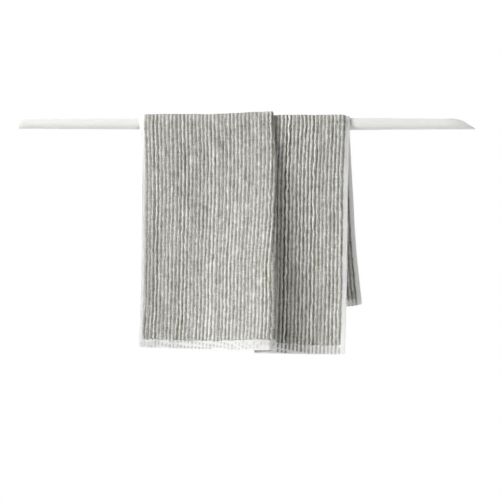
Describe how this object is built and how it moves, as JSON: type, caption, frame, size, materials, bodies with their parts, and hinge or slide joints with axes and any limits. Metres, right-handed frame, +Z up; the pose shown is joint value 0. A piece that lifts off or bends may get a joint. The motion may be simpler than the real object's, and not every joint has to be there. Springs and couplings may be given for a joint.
{
  "type": "striped hand towel on a round rod",
  "caption": "Ribbed terry hand towel with fine lengthwise stripes and flat woven hems, hung over a plain round rod with one long pleat.",
  "frame": {"origin": "centre of the rod's square left end face, on the rod's axis", "axes": "+X along the rod towards its slanted right end, +Z up, -Y towards the viewer, whom the longer front drop faces"},
  "size_m": [0.947, 0.0977, 0.5052],
  "materials": {
    "terry": "looped cotton terry, grey and off-white stripes, matt",
    "light_pile": "off-white cotton loops, matt",
    "dark_pile": "grey-green cotton loops, matt",
    "flat_weave": "white flat woven cotton hems and selvedges, matt",
    "rod_paint": "turned wood with matt white paint"
  },
  "bodies": {
    "root": {"towel": "terry", "rod": "rod_paint"}
  },
  "joints": []
}
